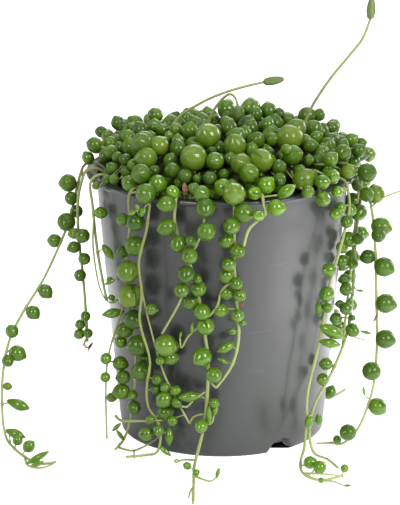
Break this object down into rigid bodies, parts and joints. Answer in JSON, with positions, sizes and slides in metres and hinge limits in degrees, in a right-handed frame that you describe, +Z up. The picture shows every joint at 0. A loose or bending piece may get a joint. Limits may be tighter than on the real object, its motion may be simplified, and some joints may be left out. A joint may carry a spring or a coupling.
{
  "type": "potted string of pearls",
  "caption": "Trailing string-of-pearls succulent in a plastic nursery pot, with strands of round leaves over the rim and thin flower stalks.",
  "frame": {"origin": "centre of the flat pad in the middle of the pot's base, on the floor that the pot stands on", "axes": "+Z up along the pot's axis, -Y towards the front of the plant, +X to the right seen from the front"},
  "size_m": [0.1781, 0.1833, 0.1935],
  "materials": {
    "pot": "mid grey moulded plastic with a soft sheen",
    "soil": "dark, crumbly peat potting mix",
    "pearls": "waxy green succulent leaves on thin green stems",
    "stalk": "pale green flower stalk with a ribbed green bud"
  },
  "bodies": {
    "root": {"crown": "pearls", "flower_stalk_leaning": "stalk", "flower_stalk_nodding": "stalk", "flower_stalk_tall": "stalk", "pot": "pot", "soil": "soil", "strand_back_1": "pearls", "strand_back_2": "pearls", "strand_back_3": "pearls", "strand_back_4": "pearls", "strand_back_5": "pearls", "strand_back_6": "pearls", "strand_back_7": "pearls", "strand_back_8": "pearls", "strand_big_pearls": "pearls", "strand_centre_left": "pearls", "strand_centre_long": "pearls", "strand_far_left": "pearls", "strand_far_right": "pearls", "strand_forked": "pearls", "strand_front": "pearls", "strand_front_short": "pearls", "strand_left_short": "pearls", "strand_left_wisp": "pearls", "strand_right_crossing": "pearls", "strand_right_inner": "pearls"}
  },
  "joints": []
}
